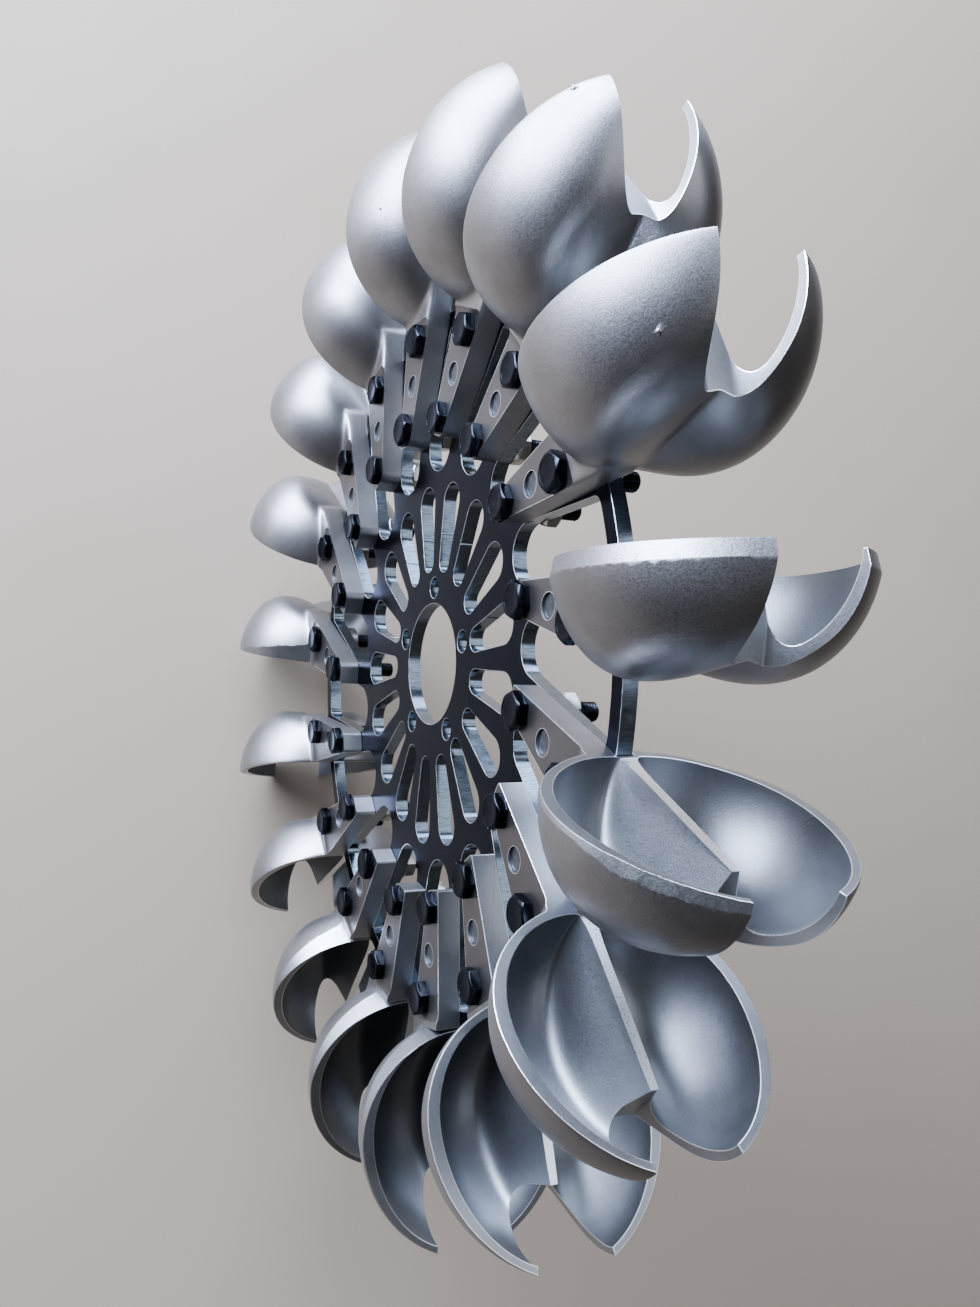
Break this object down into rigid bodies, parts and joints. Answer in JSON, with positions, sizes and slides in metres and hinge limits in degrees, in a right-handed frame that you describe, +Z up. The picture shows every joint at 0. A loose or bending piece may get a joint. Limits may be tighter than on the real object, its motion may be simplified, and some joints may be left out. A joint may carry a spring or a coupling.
{
  "type": "pelton wheel runner",
  "caption": "Water turbine runner: a spoked steel plate with a round bore and bolted twin-cup cast buckets with notched tips round its rim, bare of any shaft.",
  "frame": {"origin": "on the floor under the middle of the standing wheel's outer box", "axes": "+Z up, the wheel's axis lies along Y, the bolt-head face looks to -Y, and the tips of bucket 01 point straight up; buckets are numbered clockwise seen from the front"},
  "size_m": [0.6338, 0.1224, 0.6311],
  "materials": {
    "plate_steel": "laser-cut plate with dark mill scale on its faces and bright cut edges",
    "cast_aluminium": "shot-blasted casting, matte, with ground rim facets",
    "pin_steel": "ground dowel with a light oil film"
  },
  "bodies": {
    "root": {"runner_plate": "plate_steel", "bucket_01": "cast_aluminium", "bucket_02": "cast_aluminium", "bucket_03": "cast_aluminium", "bucket_04": "cast_aluminium", "bucket_05": "cast_aluminium", "bucket_06": "cast_aluminium", "bucket_07": "cast_aluminium", "bucket_08": "cast_aluminium", "bucket_09": "cast_aluminium", "bucket_10": "cast_aluminium", "bucket_11": "cast_aluminium", "bucket_12": "cast_aluminium", "bucket_13": "cast_aluminium", "bucket_14": "cast_aluminium", "bucket_15": "cast_aluminium", "bucket_16": "cast_aluminium", "bucket_17": "cast_aluminium", "dowel_pin_01": "pin_steel", "dowel_pin_02": "pin_steel", "dowel_pin_03": "pin_steel", "dowel_pin_04": "pin_steel", "dowel_pin_05": "pin_steel", "dowel_pin_06": "pin_steel", "dowel_pin_07": "pin_steel", "dowel_pin_08": "pin_steel", "dowel_pin_09": "pin_steel", "dowel_pin_10": "pin_steel", "dowel_pin_11": "pin_steel", "dowel_pin_12": "pin_steel", "dowel_pin_13": "pin_steel", "dowel_pin_14": "pin_steel", "dowel_pin_15": "pin_steel", "dowel_pin_16": "pin_steel", "dowel_pin_17": "pin_steel"}
  },
  "joints": []
}
